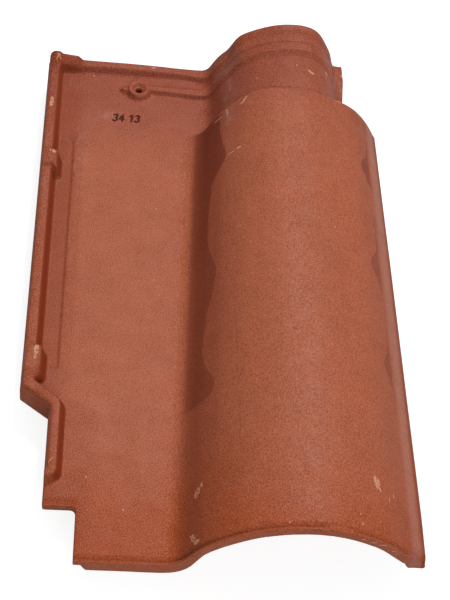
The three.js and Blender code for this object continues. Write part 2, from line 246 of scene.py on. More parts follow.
# The other profiles: a place or a distance inwards, and the height, or share of it, there.
SIDE_RIB_PROFILE = (
    (-5, 4.5), (0, 4.5), (1, 7.4), (2.6, SIDE_RIB_TOP), (8.6, SIDE_RIB_TOP), (10, 7.6),
    (SIDE_RIB_WIDTH, 0),
)
BLOCK_PROFILE = (
    (SIDE_RIB_WIDTH - 3, 0), (SIDE_RIB_WIDTH - 1, BLOCK_TOP),
    (BLOCK_WIDTH - BLOCK_RAMP, BLOCK_TOP - BLOCK_FALL), (BLOCK_WIDTH, RIM_HEIGHT - 0.5),
    (BLOCK_WIDTH + 2, 0),
)
BLOCK_FRONT = ((-1, 0), (-0.4, 0.1), (0.3, 0.38), (1, 0.6), (2, 0.72), (5, 0.88), (7.5, 1))
POST_PROFILE = ((0, 0.5), (1, 0.74), (4, 1), (9.4, 1), (11, 0.84), (SIDE_RIB_WIDTH + 1, 0))
LUG_SIDE = ((0, 0), (1.6, 0.72), (2.8, 0.94), (4.2, 1))
LUG_OUTSIDE = ((0.6, 0), (1.4, 0.88), (2.8, 1))
RIB_FRONT = ((0, 0), (1.1, 0.14), (1.9, 0.52), (2.7, 0.94), (3.3, 1.04), (4.4, 1))
RIB_WAVE = ((66, 0.4), (86, 1.7), (106, 0.8), (125, -0.6))
RIM_PROFILE = (
    (443.8, 0), (444.5, 0.07), (446, 0.16), (446.6, 0.33), (447.2, 0.56), (447.9, 0.78), (448.6, 0.94),
    (449.8, 1),
)
# Stepped rings of the neck, and where they are smeared: the rise, and its start and end.
NECK_RINGS = (
    (424.4, 0), (424.9, 1.1), (425.8, 1), (426.3, 2.2), (427.1, 2), (427.7, 3.3), (428.6, 3.6),
    (436.7, 3.7), (437.3, 2.2), (438.1, 2.6), (439, 3.4), (443, 3.5), (445.6, 3.1), (446.4, 3.5),
    (449, 4.9), (449.6, 5.3), (452.6, 6.5), (458, 6.6),
)
NECK_SMEARS = ((3.6, 421, 434), (3, 442, 454))
NECK_CRISP_LEFT = (136, 152)
NECK_CRISP_RIGHT = (213, 224)
NECK_SMEARED_SHARE = 0.7
# Depth of the groove behind the narrow bead along the foot, by distance from the edge.
FOOT_GROOVE = ((-1, 0.2), (1.5, 0.1), (2.3, 2), (2.9, 2.1), (5.4, 0.1), (6.2, 0))


# ---- sections
def smooth(start, end, value):
    """Smooth rise from 0 at start to 1 at end, or a fall where start is the larger."""
    t = np.clip((value - start) / (end - start), 0.0, 1.0)
    return t * t * (3 - 2 * t)


def profile(value, points, **beyond):
    """The height that a profile's straight lines have at a value."""
    return np.interp(value, *zip(*points), **beyond)


def spline(points, per_span=24):
    """Uniform Catmull-Rom curve through the points, as sorted x and z arrays."""
    p = np.array(points, float)
    p = np.vstack([p[0], p, p[-1]])
    t = np.linspace(0, 1, per_span, endpoint=False)[:, None]
    spans = []
    for a, b, c, d in zip(p[:-3], p[1:-2], p[2:-1], p[3:]):
        v0 = (c - a) / 2
        v1 = (d - b) / 2
        cubic = (2 * b - 2 * c + v0 + v1) * t**3
        spans.append(cubic + (-3 * b + 3 * c - 2 * v0 - v1) * t**2 + v0 * t + b)
    curve = np.vstack([*spans, p[-1:]])
    return curve[:, 0], curve[:, 1]


def edge_x(y):
    """Free right edge of the barrel."""
    at_foot = EDGE_FOOT_DRAW * (1 - smooth(0, EDGE_FOOT_DRAW_END, y))
    return TILE_WIDTH - EDGE_TAPER * np.clip(y / BARREL_LENGTH, 0, 1) - at_foot


def barrel_points(y):
    """Control points of the barrel, which narrows from its left foot line towards the head."""
    along = min(1.0, max(0.0, y / BARREL_LENGTH))
    shift = BARREL_TAPER * along
    span = CROWN_X - BARREL_LEFT_FOOT
    left = [(BARREL_LEFT_FOOT + dx + shift * (1 - dx / span),
             BARREL_RISE * (at_foot + (at_step - at_foot) * along))
            for dx, at_foot, at_step in LEFT_FLANK]
    full = SHOULDER_FULLNESS * along
    right = [(x, z + share * full) for x, z, share in RIGHT_FLANK]
    return [*left, *right, (edge_x(y) - EDGE_ROUND / 2, FACET_FOOT_Z)]


def neck_points(y):
    """Control points of the neck, blended from the step to the head."""
    along = smooth(NECK_BLEND_START, RIM_START, y)
    blend = [(x0 + (x1 - x0) * along, z0 + (z1 - z0) * along)
             for (x0, z0), (x1, z1) in zip(NECK_AT_STEP, NECK_AT_HEAD)]
    return [*blend, NECK_END]


def offset_down(x, z, thickness):
    """The curve moved square to itself, into the clay."""
    slope_x = np.gradient(x)
    slope_z = np.gradient(z)
    length = np.hypot(slope_x, slope_z)
    return x + slope_z / length * thickness, z - slope_x / length * thickness


def wall_thickness(share):
    """Thickness of a section by the share of its way from the pan to the free edge."""
    flank = PAN_THICKNESS + (FLANK_THICKNESS - PAN_THICKNESS) * smooth(*FLANK_THIN, share)
    crown = (BARREL_THICKNESS - FLANK_THICKNESS) * smooth(*CROWN_THICKEN, share)
    return flank + crown + (EDGE_THICKNESS - BARREL_THICKNESS) * smooth(*EDGE_THIN, share)


def section_heights(points, right_bottom, land_start, on_neck):
    """Upper and lower heights of one cross-section at the places GRID_X."""
    x, z = spline(points)
    upper = np.interp(GRID_X, x, z)
    upper[GRID_X < x[0]] = 0
    low_x, low_z = offset_down(x, z, wall_thickness(np.linspace(0, 1, len(x))))
    low_x = np.maximum.accumulate(low_x)
    lower = np.interp(GRID_X, low_x, low_z)
    right = GRID_X > CROWN_X
    lean = (land_start - GRID_X) / LAND_LEAN
    land = right_bottom + (lean + np.hypot(lean, LAND_ROUND)) / 2
    lower = np.where(right, np.minimum(lower, land), lower)
    lower = np.where(right, np.maximum(lower, right_bottom), np.maximum(lower, -PAN_THICKNESS))
    lower[GRID_X < low_x[0]] = -PAN_THICKNESS
    if on_neck:
        lower[GRID_X >= land_start] = right_bottom
    return upper, lower


# ---- the plan
def graded(start, end, fine_spans, coarse=1.0, fine=0.4):
    """Places from start to end, closer together inside the fine spans."""
    places = [start]
    while places[-1] < end:
        near = any(a <= places[-1] <= b for a, b in fine_spans)
        places.append(places[-1] + (fine if near else coarse))
    return np.array(places)


def skew(x, y):
    """How much nearer to the head a point of the slightly askew pressing lies."""
    step = STEP_SKEW_RIGHT * smooth(CROWN_X, FACET_TOP[0] - 0.5, x)
    step = step - STEP_SKEW_LEFT * (1 - smooth(*STEP_SKEW_LEFT_SPAN, x))
    head = HEAD_SKEW * smooth(NECK_LEFT - 3, NECK_RIGHT, x)
    foot = FOOT_SET_BACK * smooth(TILE_WIDTH - 1.7 * EDGE_LAND, TILE_WIDTH - 0.7 * EDGE_LAND, x)
    past_step = smooth(BARREL_LENGTH + 6, RIB_START, y)
    near_step = smooth(*STEP_SKEW_RISE, y) * (1 - past_step)
    return step * near_step + head * past_step + foot * (1 - smooth(0, FOOT_SET_BACK_END, y))


def straight_y(x, y):
    """Place along the tile before the pressing was skewed."""
    found = y
    for _ in range(4):
        found = y - skew(x, found)
    return found


# Grid lines, finer at the left edge, the channel's step, the foot, the head and the numbers.
GRID_X = graded(-2, TILE_WIDTH + 2, [(-2, 2), (22.5, 28), NUMBER_SPAN_X])
GRID_Y = graded(-2.4, TILE_LENGTH + HEAD_SKEW + 2, [(-2.4, 7), NUMBER_SPAN_Y, (422, 460)])
GRID_Z = np.arange(-PAN_THICKNESS - NIB_DEPTH - 1.5, 67.0, 1.0)
PLAN_X, PLAN_Y = np.meshgrid(GRID_X, GRID_Y, indexing="ij")
ALONG = straight_y(PLAN_X, PLAN_Y)

# The same over the box of grid points.
BOX_X = PLAN_X[:, :, None]
BOX_Y = ALONG[:, :, None]
BOX_Z = GRID_Z[None, None, :]


def over_plan(start, end, count, section):
    """Upper and lower heights over the plan, from cross-sections at even places along it."""
    stations = [section(y) for y in np.linspace(start, end, count)]
    place = (np.clip(ALONG, start, end) - start) / (end - start) * (count - 1)
    base = np.minimum(place.astype(int), count - 2)
    blend = place - base
    column = np.arange(len(GRID_X))[:, None]
    stacks = (np.array([s[k] for s in stations]) for k in (0, 1))
    return [stack[base, column] * (1 - blend) + stack[base + 1, column] * blend for stack in stacks]


def barrel_section(y):
    """Heights across the barrel."""
    return section_heights(barrel_points(y), EDGE_BOTTOM, edge_x(y) - EDGE_LAND, False)


def neck_section(y):
    """Heights across the neck."""
    bottom = LEDGE_TOP - LEDGE_THICKNESS
    return section_heights(neck_points(y), bottom, NECK_RIGHT - LEDGE_WIDTH, True)


def path_distance(x, y, path):
    """Signed distance in plan to an open path, positive on its right-hand side."""
    best = np.full(x.shape, 1e9)
    sign = np.ones(x.shape)
    for (ax, ay), (bx, by) in zip(path[:-1], path[1:]):
        ux, uy = bx - ax, by - ay
        t = np.clip(((x - ax) * ux + (y - ay) * uy) / (ux * ux + uy * uy), 0, 1)
        dx, dy = x - ax - t * ux, y - ay - t * uy
        d = np.hypot(dx, dy)
        side = np.where(ux * (y - ay) - uy * (x - ax) > 0, -1.0, 1.0)
        closer = d < best - 1e-9
        best = np.where(closer, d, best)
        sign = np.where(closer, side, sign)
    return best * sign


def soften(field):
    """Rounds the creases of a height field over about a millimetre."""
    kernel = (0.25, 0.5, 0.25)
    for axis in (0, 1):
        padded = np.pad(field, [(1, 1) if a == axis else (0, 0) for a in (0, 1)], mode="edge")
        n = field.shape[axis]
        field = sum(k * np.take(padded, range(i, i + n), axis=axis) for i, k in enumerate(kernel))
    return field


# ---- relief over the plan
def side_rib():
    """Rib along the left edge and down the inset one, and the distance across it."""
    path = [
        (0, TILE_LENGTH + 20), (0, NOTCH_TOP), (NOTCH_X1, NOTCH_Y1), (NOTCH_X1, INNER_RIB_END),
    ]
    narrow = SIDE_RIB_NARROW + (1 - SIDE_RIB_NARROW) * smooth(NOTCH_Y1, NOTCH_TOP, ALONG)
    across = -path_distance(PLAN_X, ALONG, path) / narrow
    past_end = np.maximum(INNER_RIB_END - ALONG, 0)
    round_end = SIDE_RIB_MIDDLE + np.hypot(np.maximum(across - SIDE_RIB_MIDDLE, 0), past_end)
    place = np.where(past_end > 0, np.maximum(across, round_end), across)
    return profile(place, SIDE_RIB_PROFILE, right=0), across


def corner_features(across):
    """Block and post at the head corner, and the lugs on the side rib."""
    front = profile(ALONG - (TILE_LENGTH - BLOCK_LENGTH), BLOCK_FRONT)
    high = np.maximum(0, profile(PLAN_X, BLOCK_PROFILE) * front)
    rise = np.clip((ALONG - TILE_LENGTH + POST_LENGTH) / POST_RUN, 0, 1)
    post = (SIDE_RIB_TOP + (POST_TOP - SIDE_RIB_TOP) * rise) * profile(across, POST_PROFILE, right=0)
    high = np.maximum(high, post * (rise > 0))
    for start, end, run, lean in LUGS:
        high = np.maximum(high, lug(start, end, run, lean, across))
    return high


def lug(start, end, run, lean, across):
    """Lug on the side rib: steep towards the foot, round in plan at its head end."""
    to_head = end - ALONG
    beyond_x = np.maximum(across - (LUG_RIGHT - LUG_CORNER), 0)
    beyond_y = np.maximum(LUG_CORNER - to_head, 0)
    inside = LUG_CORNER - np.hypot(beyond_x, beyond_y)
    top = LUG_HEIGHT * profile(inside, LUG_SIDE) * profile(across, LUG_OUTSIDE)
    from_foot = ALONG - start + lean * np.maximum(across - LUG_LEAN_START, 0)
    face = profile(from_foot, ((-1.2, 0), (0, 0.72), (0.8 * run, 0.95), (run, 1)))
    return np.where(to_head > 0, top * face, 0)


def rib_tail():
    """Round end of the rib beyond the boss, widening into it."""
    (ax, ay), (bx, by) = RIB_TAIL, NAIL
    length = math.hypot(bx - ax, by - ay)
    ux, uy = (bx - ax) / length, (by - ay) / length
    along = np.clip((PLAN_X - ax) * ux + (ALONG - ay) * uy, 0, length)
    off = np.hypot(PLAN_X - ax - along * ux, ALONG - ay - along * uy)
    inside = RIB_TAIL_RADIUS + RIB_TAIL_WIDENING * along - off
    inside = np.where(ALONG > ay, RIB_TAIL_SLOPE * inside, inside)
    return RIB_HEIGHT * profile(inside, RIB_FRONT) * (PLAN_X < NAIL[0])


def add_boss(height):
    """Round boss of the nail hole, its side run into the rib and its top dished."""
    from_nail = np.hypot(PLAN_X - NAIL[0], ALONG - NAIL[1])
    side = np.clip((BOSS_RADIUS - from_nail) / (BOSS_RADIUS - BOSS_TOP_RADIUS), 0, 1)
    dish = BOSS_DISH * (1 - smooth(NAIL_RADIUS + 0.6, BOSS_TOP_RADIUS - BOSS_RIM, from_nail))
    height = np.maximum(height, rib_tail())
    boss = BOSS_HEIGHT * side
    blend = BOSS_FILLET * smooth(BOSS_RADIUS + 4, BOSS_RADIUS - 1, from_nail) * (side < 1)
    joined = (height + boss + np.sqrt((height - boss) ** 2 + blend**2)) / 2
    return np.where(side < 1, joined, np.maximum(height, boss) - dish)


def head_relief():
    """Raised rib, from the boss to the barrel, and rim across the head of the pan."""
    start = RIB_START + profile(PLAN_X, RIB_WAVE)
    front = profile(ALONG - start, RIB_FRONT) * smooth(NAIL[0] - 5, NAIL[0], PLAN_X)
    at_tail = 1 - smooth(*RIB_TAIL_SPAN, PLAN_X)
    rib = RIB_HEIGHT * front * (1 - smooth(RIB_END - RIB_FALL - at_tail, RIB_END - 3 * at_tail, ALONG))
    rim_top = RIM_HEIGHT - RIM_FALL * smooth(RIB_TAIL[0], NECK_LEFT, PLAN_X)
    towards_foot = RIM_BEND * smooth(*RIM_BEND_SPAN, PLAN_X)
    return np.maximum(rib, rim_top * profile(ALONG + towards_foot, RIM_PROFILE))


def neck_relief():
    """Stepped rings of the neck, pressed straight down and smeared out on its flanks."""
    fade = 1 - smooth(NECK_RIGHT - 14, NECK_RIGHT - 8, PLAN_X)
    crisp = smooth(*NECK_CRISP_LEFT, PLAN_X)
    crisp = crisp * (1 - NECK_SMEARED_SHARE * smooth(*NECK_CRISP_RIGHT, PLAN_X))
    smeared = sum(rise * smooth(start, end, ALONG) for rise, start, end in NECK_SMEARS)
    return (smeared + (profile(ALONG, NECK_RINGS) - smeared) * crisp) * fade


def channels():
    """Shallow steps of the water channel beside the side rib, run out at both ends."""
    step_x = np.interp(ALONG, CHANNEL_SPAN, CHANNEL_STEP)
    run_out = smooth(CHANNEL_SPAN[0] - 1, CHANNEL_SPAN[0] + 6, ALONG)
    run_out = run_out * (1 - smooth(CHANNEL_SPAN[1] - 8, CHANNEL_SPAN[1] + 2, ALONG))
    outer = smooth(SIDE_RIB_WIDTH - 1, SIDE_RIB_WIDTH + 1, PLAN_X)
    outer = outer * (1 - smooth(-1.5, 0.8, PLAN_X - step_x))
    inner = INNER_STEP_DEPTH * (1 - smooth(-0.7, 0.7, PLAN_X - INNER_STEP_X))
    return (CHANNEL_DEPTH * outer + inner * (PLAN_X > SIDE_RIB_WIDTH)) * run_out


def grooves():
    """Grooves behind the beads along the foot and along the foot edge of the notch."""
    on_notch = 1 - smooth(NOTCH_X2 - 3, NOTCH_X2 + 1, PLAN_X)
    return profile(ALONG, FOOT_GROOVE) + on_notch * profile(ALONG - NOTCH_Y2, FOOT_GROOVE)


def arc(x, y, radius, start, end, count=5, stretch=1.7):
    """Points of a wide arc in a digit's cell."""
    turns = np.radians(np.linspace(start, end, count))
    return [(x + stretch * radius * math.cos(t), y + radius * math.sin(t)) for t in turns]


# Strokes of the digits in a cell 1 wide and 1 high.
DIGITS = {
    "1": [[(0.1, 0.78), (0.6, 1), (0.6, 0)]],
    "3": [arc(0.44, 0.76, 0.24, 150, -80), arc(0.44, 0.27, 0.27, 80, -150)],
    "4": [[(0.7, 0), (0.7, 1), (0.02, 0.3), (1, 0.3)]],
}


def number_strokes():
    """Strokes of the pressed numbers, in the plan."""
    strokes = []
    pen = NUMBER_PLACE[0]
    for letter in NUMBERS:
        for stroke in DIGITS.get(letter, ()):
            points = np.array(stroke) * (NUMBER_WIDTH, NUMBER_HEIGHT)
            points[:, 0] += pen + NUMBER_LEAN * points[:, 1]
            points[:, 1] += NUMBER_PLACE[1]
            strokes.append(points)
        pen += NUMBER_GAP + NUMBER_WIDTH * (NUMBER_SPACE if letter == " " else 1)
    return strokes


def pressed_numbers():
    """A plain pair of numbers pressed into the pan, leaning a little."""
    near = (PLAN_X > NUMBER_SPAN_X[0]) & (PLAN_X < NUMBER_SPAN_X[1])
    near = near & (PLAN_Y > NUMBER_SPAN_Y[0]) & (PLAN_Y < NUMBER_SPAN_Y[1])
    x, y = PLAN_X[near], PLAN_Y[near]
    nearest = np.full(x.shape, 9.0)
    for points in number_strokes():
        nearest = np.minimum(nearest, np.abs(path_distance(x, y, points)))
    depth = np.zeros(PLAN_X.shape)
    depth[near] = NUMBER_DEPTH * (1 - smooth(0.4 * NUMBER_STROKE, 1.3 * NUMBER_STROKE, nearest))
    return depth


def tile_heights():
    """Upper and lower heights of the barrel with the pan, and of the neck with the head."""
    barrel_top, barrel_low = over_plan(0, BARREL_LENGTH, 12, barrel_section)
    neck_top, neck_low = over_plan(BARREL_LENGTH, TILE_LENGTH, 6, neck_section)
    on_neck = smooth(NECK_LEFT - 2, NECK_LEFT + 28, PLAN_X)
    relief = head_relief() * (1 - on_neck) + neck_relief() * on_neck
    steep = np.hypot(1, np.gradient(barrel_top, GRID_X, axis=0))
    step_crease = 1.3 * on_neck * np.exp(-(((ALONG - BARREL_LENGTH - 2.4) / 1.2) ** 2))
    barrel_top = barrel_top - grooves() * np.minimum(steep, 1.8) - channels()
    neck_top = neck_top + relief - step_crease - channels()

    rib, across = side_rib()
    high = np.maximum(rib, corner_features(across))
    on_pan = PLAN_X < PAN_REACH
    raised = on_pan & (high > 0)
    barrel_top = np.where(raised, np.maximum(barrel_top, high), barrel_top)
    neck_top = add_boss(np.where(raised, np.maximum(neck_top, high), neck_top))
    neck_top = np.where(on_pan & (ALONG < BARREL_LENGTH), barrel_top, neck_top)
    numbers = pressed_numbers()
    return soften(barrel_top) - numbers, barrel_low, soften(neck_top) - numbers, neck_low


# ---- clay
def round_max(a, b, radius):
    """Intersection of two solids with its edge rounded."""
    corner = np.hypot(np.maximum(a + radius, 0), np.maximum(b + radius, 0))
    return np.minimum(-radius, np.maximum(a, b)) + corner


def round_min(a, b, radius):
    """Union of two solids with its inner corner filled."""
    return -round_max(-a, -b, radius)


def below(height):
    """The solid below a height field, its distances about true where the field is steep."""
    gx, gy = np.gradient(height, GRID_X, GRID_Y)
    steep = np.sqrt(1 + np.clip(gx, -4, 4) ** 2 + np.clip(gy, -4, 4) ** 2)
    return (BOX_Z - height[:, :, None]) / steep[:, :, None]


def upper_field(barrel_top, neck_top):
    """The barrel with the pan, joined to the neck with the head, below their upper faces."""
    lip_round = SHARP + LIP_END_ROUND * smooth(*LIP_END_SPAN, BOX_X)
    barrel = round_max(below(barrel_top), -BOX_Y, lip_round)
    barrel = round_max(barrel, BOX_X - edge_x(BOX_Y), RIGHT_EDGE_ROUND)
    barrel = round_max(barrel, BOX_Y - BARREL_LENGTH, STEP_ROUND)
    drawn = np.clip((NECK_DRAW_START - BOX_Y) / (NECK_DRAW_START - BARREL_LENGTH), 0, 1)
    neck_edge = BOX_X - (NECK_RIGHT - NECK_DRAW * drawn)
    neck = round_max(below(neck_top), neck_edge, NECK_EDGE_ROUND)
    apart = np.clip((barrel_top - neck_top) / 4, 0, 1)[:, :, None]
    return round_min(barrel, neck, STEP_FILLET * apart + SHARP)


def clay_field():
    """The tile with its hollow, before its outline is cut."""
    barrel_top, barrel_low, neck_top, neck_low = tile_heights()
    body = upper_field(barrel_top, neck_top)
    barrel_hollow = np.maximum(below(barrel_low), BOX_Y - (BARREL_LENGTH - INNER_STEP_BACK))
    behind = NECK_HOLLOW_START - BOX_Y
    neck_hollow = np.maximum(below(neck_low), behind)
    ledge_underside = LEDGE_UNDERSIDE_Z - (BOX_X - NECK_RIGHT) * LEDGE_UNDERSIDE_FALL
    under_ledge = np.maximum(BOX_Z - ledge_underside, behind)
    neck_hollow = np.where(BOX_X > NECK_RIGHT, under_ledge, neck_hollow)
    body = round_max(body, -barrel_hollow, HOLLOW_ROUND)
    return round_max(body, -neck_hollow, HOLLOW_ROUND)


def outline_field():
    """The left and head walls, with the ledge, the undercut and the cut at the foot."""
    path = [
        (0, TILE_LENGTH + 30), (0, NOTCH_TOP), (NOTCH_X1, NOTCH_Y1), (NOTCH_X1, NOTCH_Y2 + 1),
        (NOTCH_X1 + 1, NOTCH_Y2), (NOTCH_X2 - 3, NOTCH_Y2), (NOTCH_X2 - 0.9, NOTCH_Y2 - 0.9),
        (NOTCH_X2, NOTCH_Y2 - 3), (NOTCH_X2, 0.5), (NOTCH_X2 + 0.5, -0.2), (NOTCH_X2 + 40, -0.201),
    ]
    left = path_distance(BOX_X, BOX_Y, path)
    on_rib = BOX_Y > NOTCH_Y1 - 5
    ledge = WALL_LEDGE * smooth(WALL_LEDGE_Z - 0.5, WALL_LEDGE_Z + 0.5, BOX_Z) * on_rib
    at_notch = smooth(NOTCH_Y2 - 6, NOTCH_Y2 - 3, BOX_Y)
    at_notch = at_notch * (1 - smooth(NOTCH_Y2 + 6, NOTCH_Y2 + 9, BOX_Y))
    undercut = np.maximum(NOTCH_UNDERCUT_Z - BOX_Z, 0) * at_notch
    foot_cut = (FOOT_CUT - (BOX_X - NOTCH_X2) - BOX_Y) / math.sqrt(2)
    left = np.maximum(left + ledge + undercut, np.minimum(foot_cut, FOOT_CUT_TOP - BOX_Z))
    return round_max(left, BOX_Y - TILE_LENGTH, HEAD_ROUND)


def nibs_field():
    """Hanging nibs under the head of the pan."""
    found = None
    for nib_x in NIB_XS:
        dx = np.abs(BOX_X - nib_x) - NIB_WIDTH / 2 + NIB_DRAFT * (BOX_Y - NIB_Y + NIB_RUN / 2)
        dy = np.abs(BOX_Y - NIB_Y) - NIB_RUN / 2
        dz = np.abs(BOX_Z + PAN_THICKNESS) - NIB_DEPTH
        nib = round_max(round_max(dx, dy, NIB_CORNER_ROUND), dz, NIB_TIP_ROUND)
        nib = np.maximum(nib, BOX_Z + NIB_ROOT_Z)
        found = nib if found is None else np.minimum(found, nib)
    return found


def whole_tile():
    """The finished body: clay inside its outline, with the nibs and the nail hole."""
    body = round_max(clay_field(), outline_field(), SIDE_ROUND)
    body = round_max(body, -BOX_Y, FOOT_ROUND)
    body = round_min(body, nibs_field(), NIB_FILLET)
    from_nail = np.hypot(BOX_X - NAIL[0], BOX_Y - NAIL[1]) - NAIL_RADIUS
    return round_max(body, -from_nail, NAIL_HOLE_ROUND).astype(np.float32)


# ---- mesh
CORNERS = [(c & 1, c >> 1 & 1, c >> 2 & 1) for c in range(8)]
EDGES = [(a, b) for a in range(8) for b in range(8) if a < b and bin(a ^ b).count("1") == 1]


def crossed_cells(inside):
    """Flat numbers of the grid's cells that have corners both inside and outside."""
    total = 0
    for corner in CORNERS:
        part = inside[tuple(slice(c, n - 1 + c) for c, n in zip(corner, inside.shape))]
        total = total + part.astype(np.uint8)
    return np.flatnonzero(((total > 0) & (total < 8)).ravel())


def cell_points(field, place):
    """For each cell, the mean of the places where the zero level crosses its edges."""
    value = np.stack([field[tuple((place + c).T)] for c in CORNERS], axis=1).astype(float)
    point = np.zeros((len(place), 3))
    count = np.zeros(len(place))
    for a, b in EDGES:
        va, vb = value[:, a], value[:, b]
        crossed = (va < 0) != (vb < 0)
        t = np.where(crossed, va / np.where(crossed, va - vb, 1), 0)[:, None]
        start, end = np.array(CORNERS[a]), np.array(CORNERS[b])
        point += np.where(crossed[:, None], start + t * (end - start), 0)
        count += crossed
    return place + point / count[:, None]


def ring_of_cells(index, at, u, v, flip):
    """Quads of the four cells round each grid line, in turn."""
    ring = []
    for du, dv in ((-1, -1), (0, -1), (0, 0), (-1, 0)):
        cell = at.copy()
        cell[:, u] += du
        cell[:, v] += dv
        ring.append(index[tuple(cell.T)])
    return np.stack(ring[::-1] if flip else ring, axis=1)


def surface_net(field):
    """Quads over the zero level of a field: one point in each crossed cell."""
    inside = field < 0
    cells = tuple(n - 1 for n in field.shape)
    mixed = crossed_cells(inside)
    points = cell_points(field, np.stack(np.unravel_index(mixed, cells), axis=1))
    index = np.full(cells, -1, np.int32)
    index.ravel()[mixed] = np.arange(len(mixed))
    quads = []
    for axis in range(3):
        u, v = (axis + 1) % 3, (axis + 2) % 3
        first, second = (inside[tuple(cut if a == axis else slice(1, -1) for a in range(3))]
                         for cut in (slice(None, -1), slice(1, None)))
        for flip, change in ((False, first & ~second), (True, second & ~first)):
            at = np.stack(np.nonzero(change), axis=1)
            at[:, u] += 1
            at[:, v] += 1
            quads.append(ring_of_cells(index, at, u, v, flip))
    return points, np.concatenate(quads)


def new_object(name, data):
    """An object linked to the scene."""
    obj = bpy.data.objects.new(name, data)
    bpy.context.scene.collection.objects.link(obj)
    return obj


def mesh_from(name, points, quads):
    """A smooth-shaded object of quads."""
    mesh = bpy.data.meshes.new(name)
    mesh.vertices.add(len(points))
    mesh.vertices.foreach_set("co", points.astype(np.float32).ravel())
    mesh.loops.add(quads.size)
    mesh.loops.foreach_set("vertex_index", quads.astype(np.int32).ravel())
    mesh.polygons.add(len(quads))
    mesh.polygons.foreach_set("loop_start", np.arange(0, quads.size, 4, dtype=np.int32))
    mesh.update(calc_edges=True)
    return new_object(name, mesh)


def decimate(obj, ratio):
    """Thins an object's mesh to a share of its triangles."""
    modifier = obj.modifiers.new("decimate", "DECIMATE")
    modifier.ratio = ratio
    graph = bpy.context.evaluated_depsgraph_get()
    mesh = bpy.data.meshes.new_from_object(obj.evaluated_get(graph))
    obj.modifiers.remove(modifier)
    full = obj.data
    obj.data = mesh
    bpy.data.meshes.remove(full)


def keep_in_box(mesh):
    """Brings the last thousandths of a millimetre back inside the CAD model's box."""
    places = np.empty(3 * len(mesh.vertices), np.float32)
    mesh.vertices.foreach_get("co", places)
    places = np.clip(places.reshape(-1, 3), CAD_LOW * MM, CAD_HIGH * MM)
    mesh.vertices.foreach_set("co", places.astype(np.float32).ravel())
    mesh.update()


def build_tile():
    """The tile as one mesh in the CAD frame."""
    points, quads = surface_net(whole_tile())
    for axis, places in enumerate((GRID_X, GRID_Y, GRID_Z)):
        points[:, axis] = np.interp(points[:, axis], np.arange(len(places)), places)
    tile = mesh_from("tile_clay", (points + SHIFT) * MM, quads)
    decimate(tile, MOST_TRIANGLES / (2 * len(quads)))
    tile.data.polygons.foreach_set("use_smooth", np.ones(len(tile.data.polygons), bool))
    keep_in_box(tile.data)
    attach(tile, "root")
    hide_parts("tile")
    return tile


# ---- colours
CLAY = (0.412, 0.110, 0.0515)
CLAY_HEAD = (0.328, 0.079, 0.040)
CLAY_FOOT = (0.380, 0.078, 0.024)
# Painted shade: the darker, redder colour of steep faces, the channel, the rib's side and the free
# edge.
CLAY_SHADE = (0.25, 0.042, 0.012)
# Paler colour of arrises: partly wear, partly painted highlight.
PALE_WEAR_AND_HIGHLIGHT = (0.50, 0.165, 0.09)
# Dark clay: for hairlines, and as painted shade in creases and over the barrel's crown.
CLAY_DARK = (0.25, 0.052, 0.02)
CHIP = (0.68, 0.31, 0.18)
# Pale film colour, also laid on as painted sheen.
PALE_FILM_AND_SHEEN = (0.47, 0.28, 0.24)
SPECK = (0.62, 0.38, 0.29)
GRIT = (0.60, 0.24, 0.14)
# Dark of the stains, on the left flank also painted shade down the valley.
STAIN_AND_SHADE = (0.150, 0.021, 0.008)
PIT = (0.06, 0.019, 0.013)
# Near black of the numbers' strokes and of the painted shade in the nail hole.
NEAR_BLACK = (0.026, 0.002, 0.001)
SAND_TINT = (1.0, 0.5, 0.385)
FLOOR_GREY = (0.4, 0.4, 0.4)

CLAY_SPECULAR = 0.2
CLAY_ROUGHNESS = (0.5, 0.62)

# ---- marks (mm)
# Marks on the clay, some of them painted shade, sheen and highlights: place, half-axes, and turn about
# Z in radians.
CHIPS = (
    ((7, 450, 13.5), (0.9, 4.2, 4), -0.35), ((9.4, 450.5, 13), (0.8, 3, 4), 0.25),
    ((5.4, 401, 9), (1.9, 6.6, 4), -0.06), ((10.8, 342.8, 12.5), (1.7, 2, 3), 0.3),
    ((9.6, 347.4, 12.5), (0.8, 1.2, 3), 0), ((8, 343.8, 12.5), (0.9, 1.6, 3), 0),
    ((9.4, 153.5, 13), (1.9, 5.4, 4), -0.1), ((9, 147, 12), (1.4, 1.8, 4), 0),
    ((120.8, 43.4, 19), (1.8, 4.4, 9), -0.25), ((123.2, 47.4, 22), (1, 2.2, 6), -0.2),
    ((118.2, 11.4, 16), (1.5, 4.4, 9), 0.35), ((119.8, 7.8, 19), (1.8, 1.9, 8), 0),
    ((234.4, 43.2, 43), (2.7, 5.4, 7), 0.2), ((236.8, 38.2, 41), (0.9, 2.2, 5), 0.4),
    ((222, 0.2, 46.6), (2.2, 1.4, 0.9), 0), ((229.5, 0.2, 42.6), (2.6, 1.4, 1), 0),
    ((235.2, 0.2, 39.4), (3.8, 1.6, 1.3), 0.3), ((244.4, 0.2, 31.6), (1.6, 1.4, 1.1), 0),
    ((156.8, 379, 47.5), (0.8, 5.6, 6), -0.5), ((155, 377, 46), (1.6, 0.8, 6), 0.3),
    ((144.4, 375.6, 37), (0.8, 3.6, 7), 0.1), ((138.2, 374.6, 28), (4.6, 0.8, 9), -0.3),
    ((211.2, 411, 53), (3.8, 1.8, 5), -0.35), ((226.9, 424.6, 40.3), (1.3, 2, 5), 0.2),
    ((266.5, 386.9, 13.5), (1.4, 1.6, 7), 0), ((86.8, 452.3, 6), (2.6, 1, 2), 0.1),
    ((245.6, 448, 17.5), (1, 2.4, 2), 0), ((247.5, 39.5, 31), (0.9, 1.8, 5), 0.2),
)
